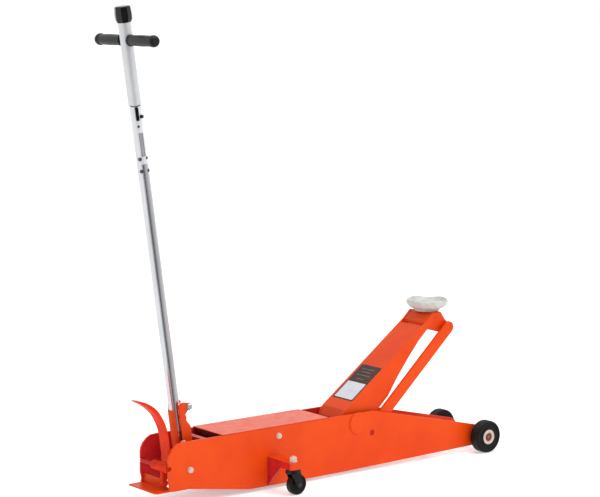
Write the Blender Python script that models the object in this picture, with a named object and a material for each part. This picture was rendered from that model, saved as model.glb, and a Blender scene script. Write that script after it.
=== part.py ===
"""Long-chassis hydraulic floor jack, modelled at full size with the lift arm nearly fully raised.

Units are metres, +Z is up and +X is forward, towards the front wheels. Everything hangs from one empty
that stands on the floor below the front axle, so the named places below are distances from that axle.
"Right" is the -Y side and "left" the +Y side. Each moving piece is parented to an empty on its axis.
"""

import math

import bmesh
import bpy
from mathutils import Matrix

# ---- driving dimensions -------------------------------------------------------------------------
FRONT_AXLE_X = 0.7078          # front axle, ahead of the middle of the whole jack
FIT = 0.0003                   # gap between two pieces that touch
SHAFT_FIT = 0.0003             # radial gap round a pin or shaft

PLATE_OUT = 0.085              # outer face of a side plate, from the middle plane
PLATE_IN = 0.077
DECK_Z = 0.2085                # top edge of the side plates
BELLY_Z = 0.0125

WHEEL_R = 0.0579
WHEEL_IN, WHEEL_OUT = 0.1020, 0.1417
AXLE_R = 0.0150
HUB_R = 0.0265

CASTER_X, CASTER_Y = -0.9224, 0.1891
CASTER_TRAIL = 0.0124
CASTER_R = 0.0345
SHELF_LOW, SHELF_TOP = 0.0880, 0.1120

ARM_PIVOT = (-0.5619, 0.1743)  # x, z
ARM_LENGTH = 0.4893
ARM_ANGLE = math.radians(42.35)
ARM_OUT, ARM_IN = 0.0625, 0.0565
LINK_OFFSET = (0.0626, -0.0415)  # link pivots from the arm's, the same at both ends
LINK_IN, LINK_OUT = 0.0655, 0.0755
LINK_R = 0.0210
PIVOT_R = 0.0160
ANCHOR_R = 0.0100
LINK_PIN_R = 0.0090
SADDLE_PIN_R = 0.0080

RAM_Z = 0.0893                 # axis of the hydraulic ram
LUG_DROP = ARM_PIVOT[1] - RAM_Z
LUG_REST = math.radians(22.4)  # lug ahead of straight down, at rest
RAM_PIN_R = 0.0100
RAM_PIN_X = ARM_PIVOT[0] + LUG_DROP * math.tan(LUG_REST)
RAM_ROD_R = 0.0200

YOKE_PIVOT = (-1.2399, 0.1300)
HANDLE_LEAN = math.radians(8.1)
YOKE_PIN_R = 0.0070
ROLLER_DROP = 0.0550           # pump roller below the yoke pivot
ROLLER_R = 0.0110
TUBE_R = 0.0180
SLEEVE_R = 0.0201
SOCKET_R = 0.0225               # outside of the split sleeve that grips the handle
SLEEVE_FOOT = 1.1727           # lower end of the upper tube, along the handle
CROSS_BAR_UP = 1.3780
KNOB_FOOT = 1.4340
KNOB_TOP = 1.4845
GRIP_END = 0.1630
LATCH_TURN = math.radians(-113)
SLOT_TURN = math.radians(-98)
BUTTON_TURN = math.radians(-68)
BUTTON_UP = 1.1360
VALVE_SLANT = math.radians(36.87)

PEDAL_PIVOT = (-1.3415, 0.1278)
TOE_DROP = 0.0528
PLUNGER_Z = YOKE_PIVOT[1] - ROLLER_DROP
PUMP_Y, FOOT_PUMP_Y = 0.0460, -0.0500
PUMP_REAR, PUMP_FRONT = -1.1870, -1.1300

REAR_BOLT = (-1.2619, 0.1142)
FRONT_BOLT = (-0.9041, 0.1771)
SIDES = {"right": -1, "left": 1}


# ---- finishes -------------------------------------------------------------------------------------
def finish(name, colour, roughness, metallic=0.0):
    material = bpy.data.materials.new(name)
    material.use_nodes = True
    shader = material.node_tree.nodes["Principled BSDF"]
    shader.inputs["Base Color"].default_value = (*colour, 1.0)
    shader.inputs["Roughness"].default_value = roughness
    shader.inputs["Metallic"].default_value = metallic
    material.diffuse_color = (*colour, 1.0)
    return material


def make_finishes():
    return {
        "orange": finish("orange_paint", (0.85, 0.12, 0.02), 0.35),
        "chrome": finish("chrome", (0.80, 0.80, 0.82), 0.12, 1.0),
        "steel": finish("bare_steel", (0.45, 0.45, 0.46), 0.35, 1.0),
        "zinc": finish("zinc_plate", (0.66, 0.66, 0.65), 0.40, 1.0),
        "rubber": finish("black_rubber", (0.015, 0.015, 0.015), 0.60),
        "plastic": finish("black_plastic", (0.02, 0.02, 0.02), 0.35),
        "black": finish("black_paint", (0.02, 0.02, 0.02), 0.40),
        "cast": finish("light_cast_metal", (0.62, 0.62, 0.60), 0.45, 0.6),
    }


# ---- outlines -------------------------------------------------------------------------------------
def arc(centre, radius, start, end, count):
    """Points on an arc from start to end degrees, counted anticlockwise."""
    points = []
    for step in range(count):
        angle = math.radians(start + (end - start) * step / (count - 1))
        points.append((centre[0] + radius * math.cos(angle), centre[1] + radius * math.sin(angle)))
    return points


def rectangle(low_a, high_a, low_b, high_b):
    return [(low_a, low_b), (high_a, low_b), (high_a, high_b), (low_a, high_b)]


def capsule(start, end, radius, count=9):
    """Outline of a bar with round ends."""
    slope = math.degrees(math.atan2(end[1] - start[1], end[0] - start[0]))
    return (arc(end, radius, slope - 90, slope + 90, count)
            + arc(start, radius, slope + 90, slope + 270, count))


# ---- solids ---------------------------------------------------------------------------------------
def place(name, bm, material, parent, location=(0, 0, 0), smooth=35):
    bmesh.ops.recalc_face_normals(bm, faces=bm.faces)
    mesh = bpy.data.meshes.new(name)
    bm.to_mesh(mesh)
    bm.free()
    mesh.materials.append(material)
    mesh.shade_smooth()
    mesh.set_sharp_from_angle(angle=math.radians(smooth))
    obj = bpy.data.objects.new(name, mesh)
    bpy.context.scene.collection.objects.link(obj)
    obj.parent = parent
    obj.location = location
    return obj


def turn_to(bm, axis):
    """Turns a shape made along +Z to lie along another axis."""
    turns = {"X": Matrix.Rotation(math.pi / 2, 3, "Y"), "Y": Matrix.Rotation(-math.pi / 2, 3, "X")}
    if axis in turns:
        bmesh.ops.rotate(bm, matrix=turns[axis], verts=bm.verts)


def prism_mesh(outline, low, high, axis="Y", edge=0.0):
    """An outline pushed along an axis. Its two numbers are (x, z) for Y, (y, z) for X, (x, y) for Z."""
    put = {"Y": lambda a, b, h: (a, h, b), "X": lambda a, b, h: (h, a, b), "Z": lambda a, b, h: (a, b, h)}
    bm = bmesh.new()
    base = [bm.verts.new(put[axis](a, b, low)) for a, b in outline]
    top = [bm.verts.new(put[axis](a, b, high)) for a, b in outline]
    caps = [bm.faces.new(base), bm.faces.new(list(reversed(top)))]
    for i in range(len(outline)):
        j = (i + 1) % len(outline)
        bm.faces.new((base[i], top[i], top[j], base[j]))
    bmesh.ops.recalc_face_normals(bm, faces=bm.faces)
    if edge:
        rims = {e for cap in caps for e in cap.edges}
        bmesh.ops.bevel(bm, geom=list(rims), offset=edge, segments=1, affect="EDGES", clamp_overlap=True)
    return bm


def turned_mesh(profile, segments=24, axis="Z"):
    """A turned solid. The profile holds (radius, height); radius 0 at both ends closes it on the axis."""
    bm = bmesh.new()
    rings = []
    for radius, height in profile:
        if radius == 0:
            rings.append([bm.verts.new((0, 0, height))])
            continue
        ring = []
        for i in range(segments):
            angle = 2 * math.pi * i / segments
            ring.append(bm.verts.new((radius * math.cos(angle), radius * math.sin(angle), height)))
        rings.append(ring)
    pairs = list(zip(rings, rings[1:]))
    if len(rings[0]) > 1:
        pairs.append((rings[-1], rings[0]))
    for one, two in pairs:
        for i in range(segments):
            j = (i + 1) % segments
            if len(one) == 1:
                bm.faces.new((one[0], two[i], two[j]))
            elif len(two) == 1:
                bm.faces.new((one[i], one[j], two[0]))
            else:
                bm.faces.new((one[i], one[j], two[j], two[i]))
    turn_to(bm, axis)
    return bm


def rod_profile(radius, low, high, chamfer=0.0):
    if not chamfer:
        return [(0, low), (radius, low), (radius, high), (0, high)]
    return [(0, low), (radius - chamfer, low), (radius, low + chamfer),
            (radius, high - chamfer), (radius - chamfer, high), (0, high)]


def tube_profile(inner, outer, low, high, chamfer=0.0):
    if not chamfer:
        return [(inner, low), (outer, low), (outer, high), (inner, high)]
    return [(inner, low), (outer - chamfer, low), (outer, low + chamfer),
            (outer, high - chamfer), (outer - chamfer, high), (inner, high)]


def prism(name, outline, low, high, material, parent, axis="Y", edge=0.0, location=(0, 0, 0)):
    return place(name, prism_mesh(outline, low, high, axis, edge), material, parent, location)


def turned(name, profile, material, parent, axis="Z", segments=24, location=(0, 0, 0)):
    return place(name, turned_mesh(profile, segments, axis), material, parent, location)


def helper(obj):
    """Keeps a shape that is only cut from, or joined to, another one out of the model."""
    obj.hide_render = True
    obj.display_type = "WIRE"
    return obj


def combine(obj, others, operation):
    for other in others:
        modifier = obj.modifiers.new(f"{operation.lower()} {other.name}", "BOOLEAN")
        modifier.operation = operation
        modifier.solver = "EXACT"
        modifier.object = helper(other)


def join(obj, *others):
    combine(obj, others, "UNION")


def cut(obj, *others):
    combine(obj, others, "DIFFERENCE")


def drill(obj, centre, radius, low, high, axis="Y", segments=24):
    """Cuts a round hole. The centre is (x, z) for Y, (y, z) for X and (x, y) for Z."""
    spots = {"Y": (centre[0], 0, centre[1]), "X": (0, centre[0], centre[1]), "Z": (centre[0], centre[1], 0)}
    tool = turned(f"{obj.name}_drill_{len(obj.modifiers)}", rod_profile(radius, low, high),
                  obj.data.materials[0], obj.parent, axis, segments, spots[axis])
    cut(obj, tool)


def empty(name, parent=None, location=(0, 0, 0), turn=0.0):
    """An axis marker, turned about Y by an angle in radians."""
    marker = bpy.data.objects.new(name, None)
    bpy.context.scene.collection.objects.link(marker)
    marker.parent = parent
    marker.location = location
    marker.rotation_euler = (0, turn, 0)
    return marker


def mirrored(side, low, high):
    """A stretch of Y on one side of the middle plane, given as distances from it."""
    return (low, high) if side > 0 else (-high, -low)


def hex_bolt_mesh(shank_r, shank_from, head_from, head_to, head_r=0.0098):
    """A bolt along +Z whose flanged hexagon head is at its upper end."""
    bm = turned_mesh([(0, shank_from), (shank_r, shank_from), (shank_r, head_from),
                      (head_r + 0.0012, head_from), (head_r + 0.0012, head_from + 0.0014),
                      (shank_r, head_from + 0.0014), (0, head_from + 0.0014)], 18)
    head = turned_mesh([(0, head_from + 0.0010), (head_r, head_from + 0.0010),
                        (head_r, head_to - 0.0012), (head_r - 0.0015, head_to), (0, head_to)], 6)
    return bm, head


def hex_bolt(name, centre, side, shank_from, head_from, head_to, material, parent):
    shank, head = hex_bolt_mesh(0.0050, shank_from, head_from, head_to)
    for bm in (shank, head):
        bmesh.ops.rotate(bm, matrix=Matrix.Rotation(-side * math.pi / 2, 3, "X"), verts=bm.verts)
    bolt = place(name, shank, material, parent, (centre[0], 0, centre[1]))
    join(bolt, place(f"{name}_head", head, material, parent, (centre[0], 0, centre[1])))


# ---- chassis --------------------------------------------------------------------------------------
def side_outline():
    nose = arc((0.0070, 0.0565), 0.0340, -96, 76, 12)
    shoulder = [(-0.4780, 0.2060), (-0.4900, DECK_Z - 0.0006), (-0.5040, DECK_Z)]
    tail = [(-1.2880, DECK_Z), (-1.3050, 0.2068), (-1.3200, 0.1990), (-1.3350, 0.1850),
            (-1.3430, 0.1710), (-1.3460, 0.1560), (-1.3460, 0.0880), (-1.3400, 0.0665), (-1.3320, 0.0615)]
    belly = [(-1.0280, BELLY_Z + 0.0010), (-1.0150, BELLY_Z), (-0.6375, BELLY_Z)]
    return nose + shoulder + tail + belly


def side_plate(label, side, paint, parent):
    name = f"side_plate_{label}"
    plate = prism(name, side_outline(), *mirrored(side, PLATE_IN, PLATE_OUT), paint, parent, edge=0.0010)
    boss = turned(f"{name}_boss", rod_profile(0.0378, 0.0840, 0.0893, 0.0018), paint, parent, "Y", 36,
                  (ARM_PIVOT[0], 0, ARM_PIVOT[1]))
    boss.scale[1] = side
    join(plate, boss)
    low, high = mirrored(side, PLATE_IN - 0.01, 0.0845)
    drill(plate, ARM_PIVOT, PIVOT_R + SHAFT_FIT, low, high, segments=28)
    low, high = mirrored(side, PLATE_IN - 0.01, PLATE_OUT + 0.01)
    anchor = (ARM_PIVOT[0] + LINK_OFFSET[0], ARM_PIVOT[1] + LINK_OFFSET[1])
    for centre, radius in (((0, WHEEL_R), AXLE_R), (anchor, ANCHOR_R), (PEDAL_PIVOT, 0.0070),
                           (REAR_BOLT, 0.0050), (FRONT_BOLT, 0.0050)):
        drill(plate, centre, radius + SHAFT_FIT, low, high, segments=20)


def top_cover(paint, parent):
    cover = prism("top_cover", rectangle(-1.1332, -0.6905, -PLATE_OUT, PLATE_OUT),
                  DECK_Z + FIT, DECK_Z + 0.0033, paint, parent, "Z", edge=0.0007)
    for name, low in (("rear", -1.1330), ("front", -0.6937)):
        lip = prism(f"top_cover_{name}_lip", rectangle(low, low + 0.0030, -0.0764, 0.0764),
                    DECK_Z - 0.0140, DECK_Z + 0.0020, paint, parent, "Z")
        join(cover, lip)


def tail_plate(paint, parent):
    """The bent plate at the rear: a foot to stand on and an upright between the side plates."""
    foot = ([(-1.3273, -0.0799), (-1.3273, 0.0799)] + arc((-1.3890, 0.0759), 0.0040, 90, 180, 4)
            + arc((-1.3790, -0.0659), 0.0140, 180, 270, 6))
    plate = prism("tail_plate", foot, 0.0506, 0.0553, paint, parent, "Z", edge=0.0008)
    join(plate, prism("tail_upright", rectangle(-0.0340, 0.0767, 0.0500, 0.0829), -1.3333, -1.3273,
                      paint, parent, "X"))


def caster_bracket(label, side, paint, parent):
    root_y, tip_y = PLATE_OUT + FIT, 0.2125
    outline = [(-0.9500, side * root_y), (-0.9000, side * root_y),
               (-0.9000, side * (tip_y - 0.0080)), (-0.9080, side * tip_y),
               (-0.9420, side * tip_y), (-0.9500, side * (tip_y - 0.0080))]
    name = f"caster_bracket_{label}"
    bracket = prism(name, outline, SHELF_LOW, SHELF_TOP, paint, parent, "Z", edge=0.0012)
    gusset = [(side * root_y, 0.0160), (side * root_y, 0.1000), (side * 0.1550, 0.1000),
              (side * 0.1500, SHELF_LOW - 0.0010)]
    join(bracket, prism(f"{name}_gusset", gusset, -0.9495, -0.9435, paint, parent, "X"))
    drill(bracket, (CASTER_X, side * CASTER_Y), 0.0064, 0.05, 0.15, "Z", 16)


def cross_members(finishes, parent):
    paint, steel = finishes["orange"], finishes["steel"]
    width = PLATE_IN - FIT
    turned("front_cross_tube", tube_profile(0.0110, 0.0140, -width, width), paint, parent, "Y", 20,
           (-0.2200, 0, 0.0450))
    turned("cover_crossbar", tube_profile(0.0053, 0.0100, -width, width), paint, parent, "Y", 16,
           (FRONT_BOLT[0], 0, FRONT_BOLT[1]))
    bulkhead = prism("cylinder_bulkhead", rectangle(-width, width, 0.0220, 0.2000), -0.8000, -0.7920,
                     paint, parent, "X", edge=0.0008)
    drill(bulkhead, (0, RAM_Z), 0.0243, -0.82, -0.77, "X", 28)
    turned("main_pivot_shaft", rod_profile(PIVOT_R, -0.0840, 0.0840, 0.001), steel, parent, "Y", 28,
           (ARM_PIVOT[0], 0, ARM_PIVOT[1]))
    turned("pedal_shaft", rod_profile(0.0070, -0.0800, 0.0800, 0.001), steel, parent, "Y", 16,
           (PEDAL_PIVOT[0], 0, PEDAL_PIVOT[1]))
    turned("front_axle", rod_profile(AXLE_R, -0.1405, 0.1405, 0.001), steel, parent, "Y", 24,
           (0, 0, WHEEL_R))
    for label, side in SIDES.items():
        low, high = mirrored(side, ARM_OUT + 0.0015, PLATE_OUT - 0.0025)
        turned(f"link_anchor_pin_{label}", rod_profile(ANCHOR_R, low, high, 0.0006), paint, parent, "Y", 20,
               (ARM_PIVOT[0] + LINK_OFFSET[0], 0, ARM_PIVOT[1] + LINK_OFFSET[1]))
        for name, centre in (("rear", REAR_BOLT), ("front", FRONT_BOLT)):
            hex_bolt(f"{name}_frame_bolt_{label}", centre, side, 0.0600, PLATE_OUT + FIT, 0.0935,
                     finishes["chrome"], parent)


def build_chassis(finishes, jack):
    for label, side in SIDES.items():
        side_plate(label, side, finishes["orange"], jack)
        caster_bracket(label, side, finishes["orange"], jack)
    top_cover(finishes["orange"], jack)
    tail_plate(finishes["orange"], jack)
    cross_members(finishes, jack)


# ---- wheels ---------------------------------------------------------------------------------------
def front_wheel(label, side, finishes, jack):
    axis = empty(f"front_wheel_axis_{label}", jack, (0, 0, WHEEL_R))
    low, high = mirrored(side, WHEEL_IN, WHEEL_OUT)
    tread = [(HUB_R + FIT, low), (WHEEL_R - 0.0050, low), (WHEEL_R - 0.0012, low + 0.0022),
             (WHEEL_R, low + 0.0060), (WHEEL_R, high - 0.0060), (WHEEL_R - 0.0012, high - 0.0022),
             (WHEEL_R - 0.0050, high), (HUB_R + FIT, high)]
    turned(f"front_tyre_{label}", tread, finishes["rubber"], axis, "Y", 48)
    bore = AXLE_R + SHAFT_FIT
    hub = [(bore, 0.0856), (0.0225, 0.0856), (0.0225, 0.0990), (HUB_R, 0.0990), (HUB_R, 0.1400),
           (bore, 0.1400)]
    turned(f"front_hub_{label}", [(r, side * y) for r, y in hub], finishes["zinc"], axis, "Y", 32)


def caster(label, side, finishes, jack):
    swivel = empty(f"caster_swivel_axis_{label}", jack, (CASTER_X, side * CASTER_Y, 0))
    wheel = (CASTER_TRAIL, CASTER_R)
    leg_in, leg_out = 0.0145, 0.0180
    fork = turned(f"caster_fork_{label}",
                  [(0, 0.0780), (0.0210, 0.0780), (0.0225, 0.0795), (0.0225, 0.0862), (0.0215, 0.0874),
                   (0.0060, 0.0874), (0.0060, 0.1290), (0.0052, 0.1300), (0, 0.1300)],
                  finishes["black"], swivel, "Z", 28)
    cheek = ([(-0.0160, 0.0800), (-0.0160, 0.0700)] + arc(wheel, 0.0110, 200, 360, 8)
             + [(0.0200, 0.0700), (0.0180, 0.0800)])
    for name, low, high in (("inner", -leg_out, -leg_in), ("outer", leg_in, leg_out)):
        join(fork, prism(f"caster_fork_{label}_{name}", cheek, low, high, finishes["black"], swivel))
    join(fork, turned(f"caster_fork_{label}_pin", rod_profile(0.0040, -0.0190, 0.0190), finishes["black"],
                      swivel, "Y", 14, (wheel[0], 0, wheel[1])))
    roll = empty(f"caster_wheel_axis_{label}", swivel, (wheel[0], 0, wheel[1]))
    tread = [(0.0043, -0.0125), (0.0120, -0.0125), (0.0135, -0.0110), (0.0270, -0.0110),
             (0.0290, -0.0120), (CASTER_R - 0.0030, -0.0120), (CASTER_R, -0.0085)]
    outline = tread + [(r, -y) for r, y in reversed(tread)]
    turned(f"caster_wheel_{label}", outline, finishes["rubber"], roll, "Y", 36)


# ---- hydraulics -----------------------------------------------------------------------------------
def pump_body(finishes, parent):
    paint = finishes["orange"]
    block = [(-1.2000, 0.2030), (-1.2000, 0.1780), (PUMP_REAR, 0.1650), (PUMP_REAR, 0.0440),
             (PUMP_FRONT, 0.0360), (PUMP_FRONT, 0.1600), (-1.1780, 0.1800), (-1.1780, 0.2030)]
    body = prism("pump_body", block, -0.0700, 0.0700, paint, parent, edge=0.0015)
    ear = ([(-1.1800, 0.0960)] + arc(REAR_BOLT, 0.0172, 270, 150, 6) + arc(YOKE_PIVOT, 0.0210, 130, 70, 5)
           + [(-1.1800, 0.1520)])
    for label, side in SIDES.items():
        low, high = mirrored(side, 0.0365, PLATE_IN - FIT)
        join(body, prism(f"pump_ear_{label}", ear, low, high, paint, parent))
    valve = empty("valve_bore_axis", parent, (YOKE_PIVOT[0], 0, YOKE_PIVOT[1]), -VALVE_SLANT)
    join(body, turned("release_valve_boss", rod_profile(0.0120, -0.1000, -0.0400, 0.001), paint, valve))
    cut(body, turned("release_valve_bore", rod_profile(0.0056, -0.0900, -0.0300), paint, valve))
    bore_from, bore_to = PUMP_REAR - 0.05, -1.1380
    drill(body, (PUMP_Y, PLUNGER_Z), 0.0074, bore_from, bore_to, "X", 18)
    drill(body, (FOOT_PUMP_Y, PLUNGER_Z), 0.0064, bore_from, bore_to, "X", 18)
    for side in SIDES.values():
        drill(body, YOKE_PIVOT, YOKE_PIN_R + SHAFT_FIT, *mirrored(side, 0.0300, 0.0800), segments=18)
        drill(body, REAR_BOLT, 0.0053, *mirrored(side, 0.0580, 0.0800), segments=18)


def build_hydraulics(finishes, jack):
    steel = finishes["steel"]
    pump_body(finishes, jack)
    ram_axis = (0, 0, RAM_Z)
    rear, front = PUMP_FRONT + FIT, -0.8303
    turned("reservoir_tube", tube_profile(0.0565, 0.0600, rear, front), finishes["orange"], jack, "X", 36,
           ram_axis)
    turned("ram_cylinder", tube_profile(0.0305, 0.0400, rear, front), steel, jack, "X", 32, ram_axis)
    bore = RAM_ROD_R + SHAFT_FIT
    head = [(bore, -0.8300), (0.0600, -0.8300), (0.0600, -0.8003), (0.0240, -0.8003), (0.0240, -0.7800),
            (bore, -0.7800)]
    turned("cylinder_head", head, steel, jack, "X", 32, ram_axis)
    for label, side in SIDES.items():
        low, high = mirrored(side, 0.0272, 0.0764)
        turned(f"yoke_pivot_pin_{label}", rod_profile(YOKE_PIN_R, low, high, 0.0005), steel, jack, "Y", 18,
               (YOKE_PIVOT[0], 0, YOKE_PIVOT[1]))


def helix_points(turns, per_turn, radius, start, end):
    count = turns * per_turn
    points = []
    for i in range(count + 1):
        angle = 2 * math.pi * i / per_turn
        points.append((start + (end - start) * i / count, radius * math.cos(angle),
                       radius * math.sin(angle)))
    return points


def return_spring(label, side, material, parent):
    """A tension spring from the bulkhead to the crosshead pin."""
    curve = bpy.data.curves.new(f"return_spring_{label}", "CURVE")
    curve.dimensions = "3D"
    curve.bevel_depth = 0.0012
    curve.bevel_resolution = 0
    curve.use_fill_caps = True
    points = helix_points(13, 8, 0.0078, -0.7900 - RAM_PIN_X, -0.0168)
    spline = curve.splines.new("POLY")
    spline.points.add(len(points) - 1)
    for target, point in zip(spline.points, points):
        target.co = (*point, 1.0)
    curve.materials.append(material)
    spring = bpy.data.objects.new(f"return_spring_{label}", curve)
    bpy.context.scene.collection.objects.link(spring)
    spring.parent = parent
    spring.location = (0, side * 0.0360, 0)


def build_ram(finishes, jack):
    steel = finishes["steel"]
    ram = empty("ram_axis", jack, (RAM_PIN_X, 0, RAM_Z))
    reach = 0.0520
    rod = [(0, -0.3431), (0.0302, -0.3431), (0.0302, -0.3181), (RAM_ROD_R, -0.3181),
           (RAM_ROD_R, -reach - FIT), (0, -reach - FIT)]
    turned("ram_rod", rod, finishes["chrome"], ram, "X", 28)
    outline = rectangle(-reach, 0.0160, -0.0220, 0.0220)
    crosshead = prism("crosshead", outline, -0.0225, 0.0225, steel, ram, edge=0.0015)
    cut(crosshead, prism("crosshead_slot", rectangle(-0.0380, 0.0300, -0.0300, 0.0300), -0.0125, 0.0125,
                         steel, ram))
    drill(crosshead, (0, 0), RAM_PIN_R + SHAFT_FIT, -0.03, 0.03, segments=20)
    turned("crosshead_pin", rod_profile(RAM_PIN_R, -0.0460, 0.0460, 0.001), steel, ram, "Y", 20)
    for label, side in SIDES.items():
        return_spring(label, side, finishes["zinc"], ram)


# ---- lift arm, links and saddle -------------------------------------------------------------------
def arm_outline():
    """Side view of the arm along its own length, deep at the pivot and slim at the saddle end."""
    base = arc((0, 0), 0.0605, 88, 250, 12)
    lower = [(0.0200, -0.0575), (0.0850, -0.0500), (0.1650, -0.0500), (0.2000, -0.0410), (0.2350, -0.0330),
             (0.3140, -0.0200), (0.3840, -0.0115), (0.4400, -0.0110)]
    tip = arc((ARM_LENGTH, 0), 0.0135, -100, 90, 10)
    return base + lower + tip + [(0.4520, 0.0125), (0.4350, 0.0148)]


def lift_arm(finishes, axis):
    paint = finishes["orange"]
    arm = prism("lift_arm", arm_outline(), -ARM_OUT, -ARM_IN, paint, axis, edge=0.0008)
    join(arm, prism("lift_arm_left_plate", arm_outline(), ARM_IN, ARM_OUT, paint, axis, edge=0.0008))
    top = [(-0.0340, 0.0430), (-0.0320, 0.0500), (0.0020, 0.0600), (0.4330, 0.0146), (0.4330, 0.0086),
           (0.0020, 0.0540)]
    join(arm, prism("lift_arm_top_plate", top, -ARM_IN - 0.001, ARM_IN + 0.001, paint, axis))
    tie = rectangle(0.0870, 0.1600, -0.0490, -0.0430)
    join(arm, prism("lift_arm_belly_tie", tie, -ARM_IN - 0.001, ARM_IN + 0.001, paint, axis))
    join(arm, turned("lift_arm_barrel", rod_profile(0.0270, -0.0600, 0.0600), paint, axis, "Y", 28))
    lug_turn = -math.pi / 2 + LUG_REST - ARM_ANGLE
    slot_far = LUG_DROP / math.cos(math.radians(24.5)) + 0.0010

    def along_lug(distance):
        return (distance * math.cos(lug_turn), distance * math.sin(lug_turn))

    lug = capsule((0, 0), along_lug(slot_far), 0.0234)
    join(arm, prism("lift_arm_lug", lug, -0.0115, 0.0115, paint, axis))
    cut(arm, prism("lift_arm_lug_slot", capsule(along_lug(LUG_DROP - 0.0010), along_lug(slot_far), 0.0116),
                   -0.02, 0.02, paint, axis))
    drill(arm, (0, 0), PIVOT_R + SHAFT_FIT, -0.07, 0.07, segments=28)
    drill(arm, (ARM_LENGTH, 0), SADDLE_PIN_R + SHAFT_FIT, -0.07, 0.07, segments=18)


def saddle_mount(finishes, tip):
    """The block that carries the saddle, drawn round the arm's end pivot."""
    link = LINK_OFFSET
    outline = ([(-0.0334, -0.0290), (-0.0269, -0.0390), (0.0318, -0.0577)]
               + arc(link, 0.0205, -80, 20, 6)
               + [(0.0590, -0.0139), (0.0500, 0.0000), (0.0400, 0.0136), (0.0053, 0.0136),
                  (-0.0124, 0.0054), (-0.0334, -0.0160)])
    mount = prism("saddle_mount", outline, -0.0555, 0.0555, finishes["orange"], tip, edge=0.0012)
    drill(mount, (0, 0), SADDLE_PIN_R + SHAFT_FIT, -0.07, 0.07, segments=18)
    drill(mount, link, LINK_PIN_R + SHAFT_FIT, -0.07, 0.07, segments=18)
    drill(mount, (0.0233, 0), 0.0129, -0.0200, 0.05, "Z", 24)


def saddle(finishes, tip):
    """The lifting cup: a stem in the mount, a neck, and a dished rim with four raised pads."""
    profile = [(0, -0.0185), (0.0125, -0.0185), (0.0125, 0.0139), (0.0435, 0.0139), (0.0435, 0.0185),
               (0.0460, 0.0225), (0.0600, 0.0310), (0.0725, 0.0415), (0.0745, 0.0465), (0.0745, 0.0530),
               (0.0705, 0.0540), (0.0670, 0.0505), (0.0600, 0.0435), (0.0520, 0.0380), (0, 0.0380)]
    bm = turned_mesh(profile, 48)
    for vert in bm.verts:
        if vert.co.z > 0.0450:
            vert.co.z += 0.0025 * math.cos(4 * math.atan2(vert.co.y, vert.co.x))
    place("saddle", bm, finishes["cast"], tip, (0.0233, 0, 0))


def build_lift(finishes, jack):
    lift = empty("lift_axis", jack, (ARM_PIVOT[0], 0, ARM_PIVOT[1]), -ARM_ANGLE)
    lift_arm(finishes, lift)
    foot = (ARM_PIVOT[0] + LINK_OFFSET[0], 0, ARM_PIVOT[1] + LINK_OFFSET[1])
    link_axis = empty("link_axis", jack, foot, -ARM_ANGLE)
    for label, side in SIDES.items():
        link = prism(f"link_{label}", capsule((0, 0), (ARM_LENGTH, 0), LINK_R, 12),
                     *mirrored(side, LINK_IN, LINK_OUT), finishes["orange"], link_axis, edge=0.0010)
        drill(link, (0, 0), ANCHOR_R + SHAFT_FIT, -0.1, 0.1, segments=20)
        drill(link, (ARM_LENGTH, 0), LINK_PIN_R + SHAFT_FIT, -0.1, 0.1, segments=20)
    turned("link_pin", rod_profile(LINK_PIN_R, -0.0753, 0.0753, 0.0008), finishes["orange"], link_axis, "Y",
           20, (ARM_LENGTH, 0, 0))
    reach = (ARM_LENGTH * math.cos(ARM_ANGLE), ARM_LENGTH * math.sin(ARM_ANGLE))
    tip = empty("saddle_mount_axis", jack, (ARM_PIVOT[0] + reach[0], 0, ARM_PIVOT[1] + reach[1]))
    turned("saddle_mount_pin", rod_profile(SADDLE_PIN_R, -0.0622, 0.0622, 0.0008), finishes["steel"], tip,
           "Y", 18)
    saddle_mount(finishes, tip)
    saddle(finishes, tip)


# ---- handle ---------------------------------------------------------------------------------------
def cheek_outline(lobe, clamp):
    """Side view of a handle socket cheek, from the pump roller lobe up to the clamp lobe."""
    return (arc(lobe, 0.0130, 180, 350, 8) + [(0.0215, -0.0150), (0.0305, 0.0200), (0.0335, 0.1080),
            (0.0310, 0.1160), (0.0200, 0.1320), (0.0195, 0.1560)] + arc(clamp, 0.0125, -110, 95, 9)
            + [(0.0190, 0.1945), (0.0085, 0.1950), (-0.0005, 0.1880), (-0.0030, 0.1780), (-0.0030, 0.0300)]
            + arc((0, 0), 0.0230, 130, 205, 5))


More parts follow.
